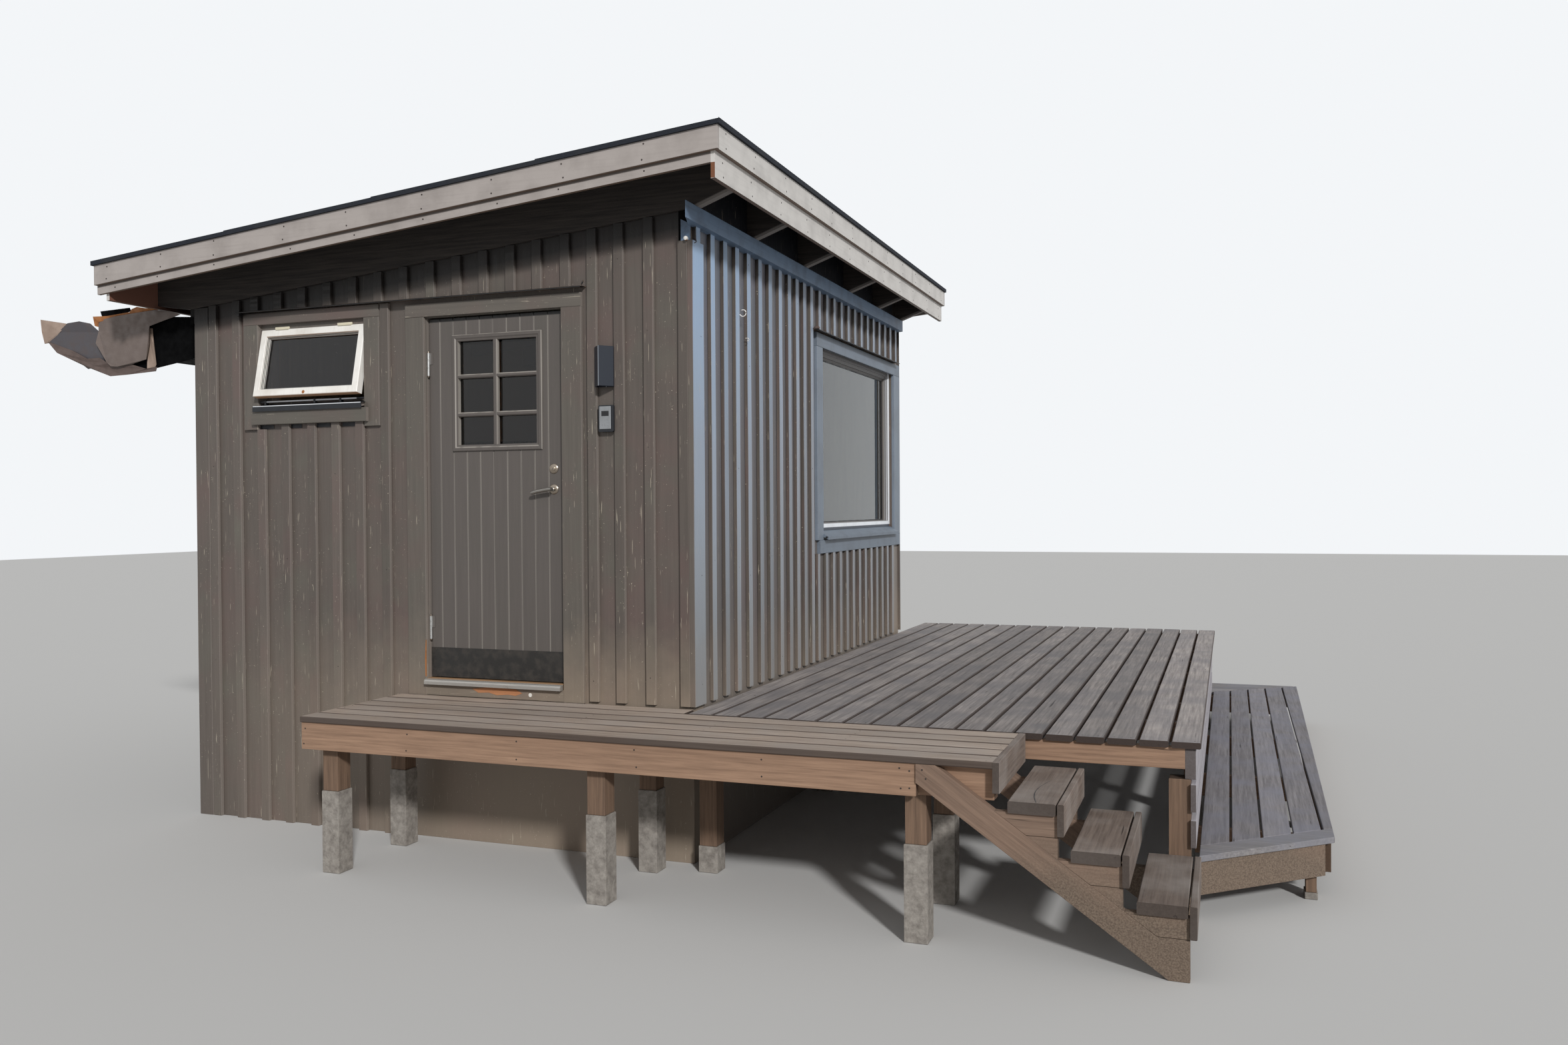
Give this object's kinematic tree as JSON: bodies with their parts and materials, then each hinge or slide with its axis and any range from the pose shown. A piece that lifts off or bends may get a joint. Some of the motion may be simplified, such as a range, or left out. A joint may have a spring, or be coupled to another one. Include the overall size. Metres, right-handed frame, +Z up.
{
  "type": "cabin with boarded deck",
  "caption": "Small mono-pitch wooden cabin with board-and-batten walls, a glazed hinged door, two windows, a boarded deck with steps and a low side platform.",
  "frame": {"origin": "middle of the whole cabin's box at ground level", "axes": "+Z up; +X to the right along the door wall, from the low eave to the high eave; +Y from the door wall into the depth"},
  "size_m": [7.458, 6.08, 3.5811],
  "materials": {
    "bright_metal": "brushed",
    "brown_deck_wood": "weathered brown",
    "concrete": "rough concrete",
    "dark_metal": "dark paint",
    "door_paint": "satin green-grey paint",
    "fascia_paint": "warm light grey paint",
    "grey_deck_wood": "weathered grey",
    "raw_wood": "unpainted",
    "roofing_felt": "dull mineral felt",
    "sheet_metal": "weathered",
    "siding_paint": "matt brown-grey paint",
    "trim_paint": "matt brown-grey paint",
    "white_paint": "white paint, weathered",
    "window_glass": "clear"
  },
  "bodies": {
    "cabin": {"back_wall": "siding_paint", "bent_sheet": "sheet_metal", "big_window_frame": "white_paint", "big_window_glass": "window_glass", "big_window_sill": "trim_paint", "big_window_trim": "trim_paint", "deck_posts": "brown_deck_wood", "door_frame": "door_paint", "door_trim": "trim_paint", "drip_caps": "dark_metal", "eave_box": "dark_metal", "eave_fascias_lower": "fascia_paint", "eave_fascias_upper": "fascia_paint", "eave_plates": "trim_paint", "floor": "raw_wood", "frame_hinges": "bright_metal", "front_wall_left": "siding_paint", "front_wall_over_door": "siding_paint", "front_wall_right": "siding_paint", "front_wall_under_door": "siding_paint", "gable_fascias_lower": "fascia_paint", "gable_fascias_upper": "fascia_paint", "key_box": "sheet_metal", "left_wall": "siding_paint", "main_deck_boards": "grey_deck_wood", "main_deck_joists": "brown_deck_wood", "main_deck_rim": "brown_deck_wood", "platform_back_boards": "grey_deck_wood", "platform_fascia_ends": "brown_deck_wood", "platform_fascia_side": "brown_deck_wood", "platform_joists": "brown_deck_wood", "platform_side_boards": "grey_deck_wood", "post_piers": "concrete", "rafters": "raw_wood", "roof_boards": "raw_wood", "roof_felt": "roofing_felt", "small_window_frame": "white_paint", "small_window_glass": "window_glass", "small_window_sash": "white_paint", "small_window_trim": "trim_paint", "stair_stringers": "brown_deck_wood", "stair_treads": "grey_deck_wood", "step_cladding": "brown_deck_wood", "threshold": "bright_metal", "walkway_beams": "brown_deck_wood", "walkway_boards": "grey_deck_wood", "walkway_end_board": "grey_deck_wood", "walkway_fascias": "brown_deck_wood", "walkway_joists": "brown_deck_wood", "wall_lamp": "dark_metal", "window_wall": "siding_paint"},
    "door": {"door_leaf": "door_paint", "door_glazing_beads": "door_paint", "door_glass": "window_glass", "door_kick_plate": "dark_metal", "door_hinges": "bright_metal", "door_lock": "bright_metal"},
    "handle": {"door_handle": "bright_metal"}
  },
  "joints": [
    {"name": "door_hinge", "type": "hinge", "parent": "cabin", "child": "door", "pos_m": [-0.886, -2.222, 0.878], "axis": [0, 0, -1], "range_deg": [0, 100]},
    {"name": "handle_turn", "type": "hinge", "parent": "door", "child": "handle", "pos_m": [-0.113, -2.223, 1.892], "axis": [0, -1, 0], "range_deg": [0, 40], "stiffness_Nm_per_rad": 0.6}
  ]
}
